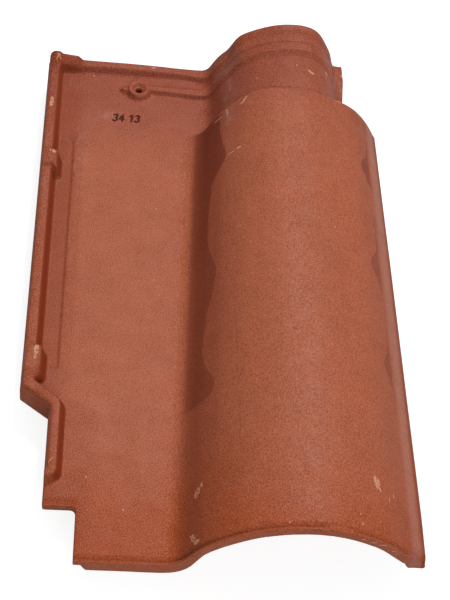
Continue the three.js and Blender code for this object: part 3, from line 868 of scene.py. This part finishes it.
SCRATCHES = (
    ((24.8, 69, 9), (0.45, 4, 2), -0.5), ((146.2, 328.6, 40.6), (5.4, 0.8, 5), 0.25),
    ((151.6, 330.2, 45.3), (2.6, 1.3, 3), 0.25), ((243.5, 34.5, 36.2), (0.5, 3, 2), -0.1),
    ((234.5, 401.5, 36.5), (2.8, 0.6, 4), -0.2), ((234, 389.2, 44), (6.5, 1.3, 7), 0.08),
    ((150, 251, 46), (4.5, 0.3, 3), 0.1), ((201.5, 440, 58), (3, 0.5, 2), 0),
)
PALE_SPECK_SIZE = (0.75, 0.75, 1)
PALE_SPECKS = [(place, PALE_SPECK_SIZE, 0) for place in (
    (167.7, 405.1, 47.9), (240.5, 443.9, 18.7), (199.5, 415.9, 55.3), (38, 443.5, 0),
    (48.5, 61.8, 0), (73.7, 38.5, 0), (219.9, 250.5, 51.2), (220.2, 15.7, 50.7),
    (221, 8.9, 50.3), (173.8, 5.3, 55.9), (255.2, 225, 26.5), (92, 301, 0),
)]
DARK_PITS = (
    ((183.9, 152.1, 57.3), (1, 1, 1), 0), ((59.8, 412.7, 0), (0.9, 1, 1), 0),
    ((79.2, 256.4, 0), (1.4, 0.9, 1), 0), ((226.2, 309.9, 48.3), (0.9, 0.8, 1), 0),
    ((57, 327, 0), (0.8, 0.8, 1), 0), ((88, 281, 0), (0.9, 0.7, 1), 0),
    ((83, 246, 0), (0.9, 0.7, 1), 0), ((215, 296, 52), (0.8, 0.8, 1), 0),
)
HAIRLINES = (
    ((142.7, 283, 38), (0.7, 18, 5), 0), ((145.9, 152, 43), (0.6, 50, 5), 0.014),
    ((146.4, 80, 44.4), (0.6, 30, 5), 0),
)
# Pale films; the third, on the neck's right flank by the ledge, is a painted sheen.
FILMS_AND_SHEEN = (
    ((146, 412, 30), (6, 30, 22), 0), ((146, 372, 38), (5, 24, 16), 0),
    ((243.6, 430, 19), (2.2, 26, 5), 0.05),
)
THIN_FILMS = (
    ((31, 350, 0), (9, 60, 3), 0), ((28, 268, 0), (4, 40, 3), 0), ((50, 396, 0), (20, 14, 3), 0),
    ((24, 432, 0), (14, 14, 3), 0), ((5, 330, 9), (6, 70, 4), 0),
)
# A pale streak along the crease of the pan's rim and the neck, and a painted highlight on the corner
# of the neck's right flank and the ledge.
STREAKS_AND_HIGHLIGHT = (((146, 449.4, 16), (11.5, 0.9, 24), 0.46), ((238.4, 436, 21), (1.1, 18, 9), -0.12))
# Painted shade inside the nail hole.
NAIL_HOLE_SHADE = ((*NAIL, -5), (NAIL_RADIUS + 1, NAIL_RADIUS + 1, 8.4), 0)

# Dark stains with scalloped sides on the barrel's flanks, the left band also painted shade down the
# valley: place along the tile, and place across it.
STAIN_AND_SHADE_SPAN = (110, 386)
LEFT_STAIN_AND_SHADE_START = ((110, 115), (390, 124))
LEFT_STAIN_AND_SHADE_END = (
    (110, 117), (115, 129), (122, 131.9), (134, 128.5), (148, 125.2), (181, 127.4), (208, 132.7),
    (222, 134.2), (235, 131.9), (247, 130.2), (278, 130.5), (302, 132.6), (312, 134.2), (321, 139.8),
    (329, 142.7), (346, 140.6), (390, 138.5),
)
RIGHT_STAIN_START = (
    (128, 258), (138, 254.5), (147, 252), (160, 256.4), (176, 257.2), (214, 256.8), (226, 252.6),
    (234, 249.4), (252, 256.2), (275, 257), (313, 257.4), (322, 253.4), (331, 249.6), (349, 256.2),
    (385, 257),
)
RIGHT_STAIN_END = 258.2


# ---- material
def rgb(color):
    return (*color, 1)


def simple_material(name, color, roughness):
    """A material of one colour, to build on."""
    material = bpy.data.materials.new(name)
    material.use_nodes = True
    shader = material.node_tree.nodes["Principled BSDF"]
    shader.inputs["Base Color"].default_value = rgb(color)
    shader.inputs["Roughness"].default_value = roughness
    return material


class Sheet:
    """Adds nodes to a material; a value may be a number, a colour or another node's output."""

    def __init__(self, material):
        self.nodes = material.node_tree.nodes
        self.links = material.node_tree.links

    def add(self, kind, inputs=(), output=0, **settings):
        node = self.nodes.new("ShaderNode" + kind)
        for key, value in settings.items():
            setattr(node, key, value)
        for socket, value in dict(inputs).items():
            if isinstance(value, bpy.types.NodeSocket):
                self.links.new(value, node.inputs[socket])
            else:
                node.inputs[socket].default_value = value
        return node.outputs[output]

    def parts(self, vector):
        """The three components of a vector."""
        return tuple(self.add("SeparateXYZ", {0: vector}).node.outputs)

    def math(self, operation, a, b=0.0):
        return self.add("Math", {0: a, 1: b}, operation=operation)

    def plus(self, a, b):
        return self.math("ADD", a, b)

    def minus(self, a, b):
        return self.math("SUBTRACT", a, b)

    def scaled_plus(self, value, scale, b):
        return self.add("Math", {0: value, 1: scale, 2: b}, operation="MULTIPLY_ADD")

    def larger(self, a, b):
        return self.math("MAXIMUM", a, b)

    def times(self, first, *others):
        found = first
        for value in others:
            found = self.math("MULTIPLY", found, value)
        return found

    def vector(self, operation, a, b=(0, 0, 0), c=(0, 0, 0)):
        return self.add("VectorMath", {0: a, 1: b, 2: c}, operation=operation)

    def span(self, value, low, high, to_low=0.0, to_high=1.0):
        """Smooth change from to_low, where the value is low, to to_high, where it is high."""
        inputs = {"Value": value, 1: low, 2: high, 3: to_low, 4: to_high}
        return self.add("MapRange", inputs, interpolation_type="SMOOTHSTEP")

    def noise(self, place, size, detail=2.0, roughness=0.5, output="Fac"):
        """Noise whose features are about size millimetres wide."""
        inputs = {"Vector": place, "Scale": 1 / size, "Detail": detail, "Roughness": roughness}
        return self.add("TexNoise", inputs, output)

    def mix(self, share, a, b, mode="MIX"):
        inputs = {"Factor": share, 6: a, 7: b}
        return self.add("Mix", inputs, 2, data_type="RGBA", blend_type=mode)

    def tint(self, color, tone, *shares):
        """A colour with another laid over it in the product of the shares."""
        return self.mix(self.times(*shares), color, rgb(tone))

    def spots(self, place, marks, fade):
        """1 inside any mark, an ellipsoid turned about Z, fading over the marks' edges."""
        found = 0.0
        for centre, half, turn in marks:
            inputs = {"Vector": place, "Location": centre, "Rotation": (0, 0, turn), "Scale": half}
            local = self.add("Mapping", inputs, vector_type="TEXTURE")
            distance = self.add("VectorMath", {0: local}, "Value", operation="LENGTH")
            found = self.larger(self.span(distance, 1 - fade, 1, 1, 0), found)
        return found

    def curve(self, value, points):
        """The value carried from the first to the second number of the given points."""
        start, end = points[0][0], points[-1][0]
        share = self.add("MapRange", {"Value": value, 1: start, 2: end})
        found = self.add("FloatCurve", {"Value": share})
        mapping = found.node.mapping
        line = mapping.curves[0].points
        for _ in points[2:]:
            line.new(0.5, 0.5)
        for dot, (x, y) in zip(line, points):
            dot.location = ((x - start) / (end - start), y / TILE_WIDTH)
        mapping.update()
        return self.times(found, TILE_WIDTH)


def clay_material():
    """Sandy, mottled clay with scalloped dark stains, paler where it is worn or chipped, and with
    painted shade, sheen and highlights.
    """
    material = simple_material("clay", CLAY, 0.7)
    sheet = Sheet(material)
    shader = sheet.nodes["Principled BSDF"]
    shader.inputs["Specular IOR Level"].default_value = CLAY_SPECULAR
    from_object = sheet.add("TexCoord", output="Object")
    place = sheet.vector("MULTIPLY_ADD", from_object, (1 / MM,) * 3, tuple(-SHIFT))
    across, along, _ = sheet.parts(place)

    wander = sheet.noise(place, 5, detail=3, roughness=0.6, output="Color")
    wander = sheet.vector("SUBTRACT", wander, (0.5, 0.5, 0.5))
    ragged = sheet.vector("MULTIPLY_ADD", wander, (5, 5, 2), place)
    gentle = sheet.vector("MULTIPLY_ADD", wander, (2.5, 2.5, 1), place)

    geometry = sheet.add("NewGeometry").node.outputs
    facing_x, _, facing_up = sheet.parts(geometry["Normal"])

    color = base_color(sheet, place, across, along, facing_up)
    color = add_grains(sheet, color, place)
    color = flank_shade(sheet, color, across, along, facing_x)
    color = channel_line(sheet, color, across, along)
    color = stains_and_valley_shade(sheet, color, across, along, wander, facing_up)
    color = films_sheen_and_highlights(sheet, color, place, ragged, gentle)
    worn = worn_marks(sheet, place, gentle)
    color = sheet.tint(color, CHIP, worn, 0.95)
    color = small_marks(sheet, color, place, gentle)
    color = edge_band(sheet, color, across, along)
    color = wear_highlight_and_crease_shade(sheet, color, geometry["Pointiness"], place)
    rough = sheet.span(sheet.noise(place, 14, detail=4, roughness=0.6), 0.3, 0.7, *CLAY_ROUGHNESS)
    sheet.links.new(color, shader.inputs["Base Color"])
    sheet.links.new(rough, shader.inputs["Roughness"])
    sheet.links.new(surface_bump(sheet, place, worn), shader.inputs["Normal"])
    return material


def base_color(sheet, place, across, along, facing_up):
    """Redder towards the head, more orange towards the foot, with painted shade beside the rib and
    over the barrel's crown and right side.
    """
    drift = sheet.minus(sheet.noise(place, 90), 0.5)
    drift = sheet.plus(sheet.times(drift, 50), along)
    head = sheet.span(drift, 330, 425)
    on_barrel = sheet.span(across, 120, 170, 0, 28)
    foot = sheet.span(sheet.plus(drift, on_barrel), 100, 15)
    color = sheet.tint(rgb(CLAY), CLAY_HEAD, head)
    color = sheet.tint(color, CLAY_FOOT, foot, sheet.span(facing_up, 0.1, 0.9))
    # Painted shade in a band beside the side rib.
    from_rib = sheet.minus(across, sheet.span(along, NOTCH_TOP, NOTCH_Y1, 0, NOTCH_X1))
    shade_by_rib = sheet.span(from_rib, 38, 24)
    color = sheet.tint(color, CLAY_SHADE, shade_by_rib, sheet.span(along, 60, 330, 0.3, 0.5))
    # Painted shade: the barrel's crown and right side a little darker.
    return sheet.tint(color, CLAY_DARK, sheet.span(across, 150, 200, 0, 0.1))


def add_grains(sheet, color, place):
    """Clouds, patches and sand in the clay, with pale grit and dark pores."""
    cloud = sheet.span(sheet.noise(place, 30, detail=3, roughness=0.55), 0.3, 0.7, 0.96, 1.05)
    color = sheet.mix(1.0, color, cloud, "MULTIPLY")
    patch = sheet.noise(place, 9, detail=3, roughness=0.6)
    patch = sheet.span(patch, 0.3, 0.7, -0.008, 0.008)
    sand = sheet.noise(place, 0.85, detail=1, roughness=0.6)
    sand = sheet.span(sand, 0.28, 0.72, -0.085, 0.085)
    color = sheet.vector("MULTIPLY_ADD", sheet.plus(patch, sand), SAND_TINT, color)
    grit = sheet.noise(place, 2.3, detail=1)
    color = sheet.tint(color, GRIT, sheet.span(grit, 0.73, 0.78, 0, 0.5))
    pores = sheet.noise(place, 1.9, detail=1)
    return sheet.tint(color, PIT, sheet.span(pores, 0.28, 0.24, 0, 0.45))


def flank_shade(sheet, color, across, along, facing_x):
    """Painted shade: darker, redder colour on the rib's steep faces turned to the right, in the
    channel, and on the barrel's flank turned to the left.
    """
    # Painted shade on steep faces turned to the right beside the rib.
    facing_right = sheet.span(facing_x, 0.2, 0.75)
    shade_by_rib = sheet.times(sheet.span(across, 48, 40), sheet.span(along, 340, 430, 1, 0.6))
    color = sheet.tint(color, CLAY_SHADE, facing_right, shade_by_rib)
    # Painted shade in the channel.
    channel = sheet.times(sheet.span(across, 30, 16), sheet.span(across, 8, 12))
    color = sheet.tint(color, CLAY_SHADE, channel, 0.3)
    # Painted shade on the barrel's flank turned to the left.
    on_barrel = sheet.span(along, BARREL_LENGTH + 5, BARREL_LENGTH - 1, 0.0, 0.2)
    return sheet.tint(color, CLAY_SHADE, sheet.span(facing_x, -0.45, -0.85), on_barrel)


def channel_line(sheet, color, across, along):
    """Painted shade along the step of the water channel."""
    (start, end), (x0, x1) = CHANNEL_SPAN, CHANNEL_STEP
    step = sheet.add("MapRange", {"Value": along, 1: start, 2: end, 3: x0, 4: x1})
    off = sheet.math("ABSOLUTE", sheet.minus(across, step))
    line = sheet.times(sheet.span(off, 1.8, 0.2), sheet.span(along, start, start + 12))
    return sheet.tint(color, CLAY_SHADE, line, sheet.span(along, end, end - 15), 0.35)


def stains_and_valley_shade(sheet, color, across, along, wander, facing_up):
    """Dark bands with scalloped sides on both flanks of the barrel: stains, and on the left flank also
    painted shade down the valley.
    """
    across = sheet.plus(across, sheet.times(sheet.parts(wander)[0], 2.0))
    left = sheet.span(sheet.minus(across, sheet.curve(along, LEFT_STAIN_AND_SHADE_START)), -4, 1)
    past = sheet.minus(across, sheet.curve(along, LEFT_STAIN_AND_SHADE_END))
    left = sheet.times(left, sheet.span(past, 0.4, -0.6))
    right = sheet.span(sheet.minus(across, sheet.curve(along, RIGHT_STAIN_START)), -0.4, 0.6)
    right = sheet.times(right, sheet.span(across, RIGHT_STAIN_END + 0.4, RIGHT_STAIN_END - 0.4))
    start, end = STAIN_AND_SHADE_SPAN
    on_barrel = sheet.times(sheet.span(along, start, start + 4), sheet.span(along, end, end - 4))
    stain_and_shade = sheet.times(sheet.larger(left, right), on_barrel, sheet.span(facing_up, 0.0, 0.1))
    return sheet.tint(color, STAIN_AND_SHADE, stain_and_shade, sheet.span(along, 200, 330, 0.42, 0.62))


def films_sheen_and_highlights(sheet, color, place, ragged, gentle):
    """Thin pale films and streaks, broken up along the tile; by the neck's ledge they are painted
    sheen and a painted highlight.
    """
    streaky = sheet.noise(sheet.vector("MULTIPLY", place, (1, 0.35, 0.6)), 3, detail=4, roughness=0.7)
    film = sheet.times(sheet.spots(ragged, FILMS_AND_SHEEN, 0.8), 0.42)
    film = sheet.larger(film, sheet.times(sheet.spots(ragged, THIN_FILMS, 0.9), 0.25))
    film = sheet.times(film, sheet.span(streaky, 0.42, 0.7))
    film = sheet.larger(film, sheet.times(sheet.spots(gentle, STREAKS_AND_HIGHLIGHT, 0.8), 0.4))
    return sheet.tint(color, PALE_FILM_AND_SHEEN, film)


def worn_marks(sheet, place, gentle):
    """Where the clay is chipped or scratched."""
    broken = sheet.span(sheet.noise(place, 1.5, roughness=0.6), 0.32, 0.5)
    chips = sheet.times(sheet.spots(gentle, CHIPS, 0.25), broken)
    return sheet.larger(chips, sheet.spots(gentle, SCRATCHES, 0.5))


def small_marks(sheet, color, place, gentle):
    """Specks, pits, hairlines, dark strokes of the numbers and painted shade in the nail hole, laid
    over the clay in turn.
    """
    dark_spots = [*stroke_spots(), NAIL_HOLE_SHADE]
    for where, marks, fade, share, tone in (
        (place, PALE_SPECKS, 0.5, 0.8, SPECK),
        (place, DARK_PITS, 0.6, 0.6, PIT),
        (gentle, HAIRLINES, 0.8, 0.4, CLAY_DARK),
        (place, dark_spots, 0.3, 0.95, NEAR_BLACK),
    ):
        color = sheet.tint(color, tone, sheet.spots(where, marks, fade), share)
    return color


def stroke_spots():
    """One long spot for each straight piece of the pressed numbers, where the strokes are painted
    dark.
    """
    found = []
    for points in number_strokes():
        for start, end in zip(points[:-1], points[1:]):
            along = end - start
            half = (np.hypot(*along) / 2 + 1.1 * NUMBER_STROKE, 1.2 * NUMBER_STROKE, 3)
            found.append(((*(start + end) / 2, 0), half, math.atan2(along[1], along[0])))
    return found


def edge_band(sheet, color, across, along):
    """Painted shade on the barrel's right shoulder, painted sheen on the facet and painted shade on
    the free edge.
    """
    on_barrel = sheet.span(along, BARREL_LENGTH + 6, BARREL_LENGTH + 2)
    # Painted shade on the right shoulder.
    shoulder = sheet.times(sheet.span(across, 238, 254), sheet.span(across, 263, 259))
    color = sheet.tint(color, CLAY_SHADE, shoulder, 0.2)
    # Painted sheen on the facet.
    facet = sheet.times(sheet.span(across, 258, 263), sheet.span(across, 269, 266))
    color = sheet.tint(color, PALE_FILM_AND_SHEEN, facet, on_barrel, 0.2)
    # Painted shade on the steep free edge.
    arris = sheet.span(across, 268.6, 270.2)
    return sheet.tint(color, CLAY_SHADE, arris, on_barrel, 0.75)


def wear_highlight_and_crease_shade(sheet, color, bend, place):
    """Arrises paler, partly as wear and partly as a painted highlight, and painted shade in the
    creases.
    """
    patchy = sheet.span(sheet.noise(place, 12, detail=3, roughness=0.6), 0.35, 0.65, 0.4, 1)
    # Paler arrises: wear and painted highlight.
    color = sheet.tint(color, PALE_WEAR_AND_HIGHLIGHT, sheet.span(bend, 0.52, 0.58), sheet.times(patchy, 0.45))
    # Painted shade in the creases.
    return sheet.tint(color, CLAY_DARK, sheet.span(bend, 0.48, 0.42), 0.5)


def surface_bump(sheet, place, worn):
    """Sandy grain, faint press ripples, and chips sunk into the face."""
    grain = sheet.noise(place, 1.0, detail=3, roughness=0.65)
    ripple = sheet.noise(sheet.vector("MULTIPLY", place, (1, 0.3, 1)), 7, detail=3)
    height = sheet.scaled_plus(grain, 0.10, sheet.times(ripple, 0.22))
    height = sheet.minus(height, sheet.times(worn, 0.5))
    return sheet.add("Bump", {"Height": height, "Strength": 0.8, "Distance": MM})


# ---- stage
FLOOR_HALF = 3
FLOOR_DROP = 0.0005
FLOOR_GLOW = 0.85
FLOOR_MIRRORED = 0.3
WORLD_LIGHT = 0.30
AIM = (0, 0, 0.03)

# The photograph's camera, in millimetres in the tile; its yaw, pitch and roll in radians.
CAMERA_PLACE = (37.7344, -374.3971, 774.3029)
CAMERA_TURNS = (0.1785, 0.9114, 0.2015)
FOCAL_PIXELS = 1319.8823
FRAME_HEIGHT = 600


def floor_material():
    """Pale floor, white to the camera, that keeps the tile's soft shadow."""
    material = simple_material("floor_white", FLOOR_GREY, 0.9)
    sheet = Sheet(material)
    rays = sheet.add("LightPath").node.outputs
    mirrored = sheet.times(rays["Is Glossy Ray"], FLOOR_MIRRORED)
    glow = sheet.scaled_plus(rays["Is Camera Ray"], FLOOR_GLOW, mirrored)
    shader = sheet.nodes["Principled BSDF"]
    shader.inputs["Emission Color"].default_value = (1, 1, 1, 1)
    sheet.links.new(glow, shader.inputs["Emission Strength"])
    return material


def white_stage():
    """A wide floor just under the tile."""
    corners = [(x * FLOOR_HALF, y * FLOOR_HALF, 0) for x, y in ((-1, -1), (1, -1), (1, 1), (-1, 1))]
    mesh = bpy.data.meshes.new("floor")
    mesh.from_pydata(corners, [], [(0, 1, 2, 3)])
    floor = new_object("floor", mesh)
    floor.location.z = -FLOOR_DROP
    floor.data.materials.append(floor_material())


def camera():
    """Camera at the place and turn worked out for the photograph."""
    yaw, pitch, roll = CAMERA_TURNS
    level = Vector((math.cos(yaw), -math.sin(yaw), 0))
    ahead = Vector((math.sin(yaw), math.cos(yaw), 0))
    forward = ahead * math.cos(pitch) - Vector((0, 0, math.sin(pitch)))
    upright = level.cross(forward)
    right = level * math.cos(roll) + upright * math.sin(roll)
    up = upright * math.cos(roll) - level * math.sin(roll)
    data = bpy.data.cameras.new("camera")
    data.sensor_width = 36
    data.lens = FOCAL_PIXELS * data.sensor_width / FRAME_HEIGHT
    turn = Matrix((right, up, -forward)).transposed().to_4x4()
    cam = new_object("camera", data)
    cam.matrix_world = Matrix.Translation(Vector((CAMERA_PLACE + SHIFT) * MM)) @ turn
    bpy.context.scene.camera = cam


def area_light(name, place, size, watts):
    """Round soft lamp that points at the tile."""
    data = bpy.data.lights.new(name, "AREA")
    data.shape = "DISK"
    data.size = size
    data.energy = watts
    lamp = new_object(name, data)
    lamp.location = place
    lamp.rotation_mode = "QUATERNION"
    lamp.rotation_quaternion = (Vector(AIM) - Vector(place)).to_track_quat("-Z", "Y")


def world_light():
    """Even white light all round, full white only to the camera."""
    world = bpy.data.worlds.new("world")
    world.use_nodes = True
    sheet = Sheet(world)
    seen = sheet.add("LightPath", output="Is Camera Ray")
    strength = sheet.add("MapRange", {"Value": seen, "To Min": WORLD_LIGHT, "To Max": 1.0})
    background = sheet.nodes["Background"]
    background.inputs["Color"].default_value = (1, 1, 1, 1)
    sheet.links.new(strength, background.inputs["Strength"])
    bpy.context.scene.world = world


tile = build_tile()
tile.data.materials.clear()
tile.data.materials.append(clay_material())
white_stage()
camera()
world_light()
area_light("key", (0.70, 1.34, 2.82), size=0.9, watts=63)
area_light("front_fill", (0.5, -2.6, 1.5), size=1.6, watts=25)
bpy.context.scene.view_settings.view_transform = "Standard"
